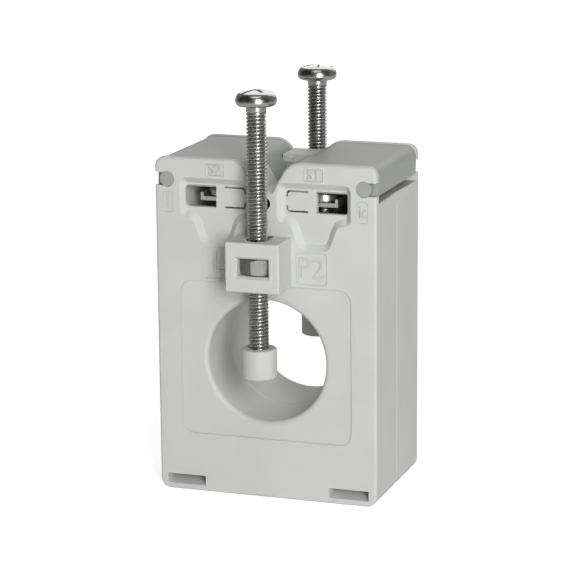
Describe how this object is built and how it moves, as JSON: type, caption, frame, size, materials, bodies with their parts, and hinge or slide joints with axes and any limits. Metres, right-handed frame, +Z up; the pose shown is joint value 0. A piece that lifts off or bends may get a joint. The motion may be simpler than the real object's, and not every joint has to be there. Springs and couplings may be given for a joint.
{
  "type": "current transformer",
  "caption": "Window-type current transformer with a round primary bore, hinged covers over its secondary terminals and a long conductor clamp screw on each face.",
  "frame": {"origin": "centre of the surface that the housing stands on, midway between the two clamp screws", "axes": "+X to the right across the front, +Y from front to rear along the bore, +Z up"},
  "size_m": [0.045, 0.0442, 0.0814],
  "materials": {
    "housing_grey": "fine matte moulded light grey",
    "cover_grey": "fine matte moulded mid grey",
    "cap_grey": "smooth matte moulded light grey",
    "zinc_steel": "bright zinc plate",
    "plated_brass": "nickel plate over brass",
    "winding_copper": "enamelled copper wire, wound tight",
    "core_steel": "wound strip of electrical steel",
    "case_plastic": "thin natural nylon",
    "lead_insulation": "smooth red sleeve"
  },
  "bodies": {
    "housing": {"front_shell": "housing_grey", "rear_shell": "housing_grey", "core_ring": "core_steel", "core_case": "case_plastic", "core_case_lid": "case_plastic", "secondary_winding": "winding_copper", "s1_terminal_bar": "plated_brass", "s2_terminal_bar": "plated_brass", "s1_lead": "lead_insulation", "s2_lead": "lead_insulation", "front_nut": "zinc_steel", "rear_nut": "zinc_steel"},
    "right_cover_body": {"right_cover": "cover_grey"},
    "left_cover_body": {"left_cover": "cover_grey"},
    "front_cap_body": {"front_screw_cap": "cap_grey"},
    "front_clamp_screw_body": {"front_clamp_screw": "zinc_steel"},
    "rear_cap_body": {"rear_screw_cap": "cap_grey"},
    "rear_clamp_screw_body": {"rear_clamp_screw": "zinc_steel"},
    "s1_front_saddle_body": {"s1_front_saddle": "zinc_steel"},
    "s1_front_terminal_screw_body": {"s1_front_terminal_screw": "zinc_steel"},
    "s1_rear_saddle_body": {"s1_rear_saddle": "zinc_steel"},
    "s1_rear_terminal_screw_body": {"s1_rear_terminal_screw": "zinc_steel"},
    "s2_front_saddle_body": {"s2_front_saddle": "zinc_steel"},
    "s2_front_terminal_screw_body": {"s2_front_terminal_screw": "zinc_steel"},
    "s2_rear_saddle_body": {"s2_rear_saddle": "zinc_steel"},
    "s2_rear_terminal_screw_body": {"s2_rear_terminal_screw": "zinc_steel"}
  },
  "joints": [
    {"name": "right_cover_hinge", "type": "hinge", "parent": "housing", "child": "right_cover_body", "pos_m": [0.01995, 0, 0.06265], "axis": [0, 1, 0], "range_deg": [0, 95]},
    {"name": "left_cover_hinge", "type": "hinge", "parent": "housing", "child": "left_cover_body", "pos_m": [-0.01995, 0, 0.06265], "axis": [0, -1, 0], "range_deg": [0, 95]},
    {"name": "front_clamp_slide", "type": "slide", "parent": "housing", "child": "front_cap_body", "axis": [0, 0, -1], "range_m": [-0.011, 0.016]},
    {"name": "front_clamp_turn", "type": "hinge", "parent": "front_cap_body", "child": "front_clamp_screw_body", "pos_m": [0, -0.0181, 0.06], "axis": [0, 0, -1], "range_deg": [-5659, 8230]},
    {"name": "rear_clamp_slide", "type": "slide", "parent": "housing", "child": "rear_cap_body", "axis": [0, 0, -1], "range_m": [-0.011, 0.0125]},
    {"name": "rear_clamp_turn", "type": "hinge", "parent": "rear_cap_body", "child": "rear_clamp_screw_body", "pos_m": [0, 0.0181, 0.06], "axis": [0, 0, -1], "range_deg": [-5659, 6430]},
    {"name": "s1_front_terminal_slide", "type": "slide", "parent": "housing", "child": "s1_front_saddle_body", "axis": [0, 0, -1], "range_m": [0, 0.0019]},
    {"name": "s1_front_terminal_turn", "type": "hinge", "parent": "s1_front_saddle_body", "child": "s1_front_terminal_screw_body", "pos_m": [0.01, -0.0082, 0.06], "axis": [0, 0, -1], "range_deg": [0, 979]},
    {"name": "s1_rear_terminal_slide", "type": "slide", "parent": "housing", "child": "s1_rear_saddle_body", "axis": [0, 0, -1], "range_m": [0, 0.0019]},
    {"name": "s1_rear_terminal_turn", "type": "hinge", "parent": "s1_rear_saddle_body", "child": "s1_rear_terminal_screw_body", "pos_m": [0.01, 0.0082, 0.06], "axis": [0, 0, -1], "range_deg": [0, 979]},
    {"name": "s2_front_terminal_slide", "type": "slide", "parent": "housing", "child": "s2_front_saddle_body", "axis": [0, 0, -1], "range_m": [0, 0.0019]},
    {"name": "s2_front_terminal_turn", "type": "hinge", "parent": "s2_front_saddle_body", "child": "s2_front_terminal_screw_body", "pos_m": [-0.01, -0.0082, 0.06], "axis": [0, 0, -1], "range_deg": [0, 979]},
    {"name": "s2_rear_terminal_slide", "type": "slide", "parent": "housing", "child": "s2_rear_saddle_body", "axis": [0, 0, -1], "range_m": [0, 0.0019]},
    {"name": "s2_rear_terminal_turn", "type": "hinge", "parent": "s2_rear_saddle_body", "child": "s2_rear_terminal_screw_body", "pos_m": [-0.01, 0.0082, 0.06], "axis": [0, 0, -1], "range_deg": [0, 979]}
  ],
  "couplings": [
    {"joint": "front_clamp_turn", "follows": "front_clamp_slide", "rad_per_m": 8976},
    {"joint": "rear_clamp_turn", "follows": "rear_clamp_slide", "rad_per_m": 8976},
    {"joint": "s1_front_terminal_turn", "follows": "s1_front_terminal_slide", "rad_per_m": 8976},
    {"joint": "s1_rear_terminal_turn", "follows": "s1_rear_terminal_slide", "rad_per_m": 8976},
    {"joint": "s2_front_terminal_turn", "follows": "s2_front_terminal_slide", "rad_per_m": 8976},
    {"joint": "s2_rear_terminal_turn", "follows": "s2_rear_terminal_slide", "rad_per_m": 8976}
  ]
}
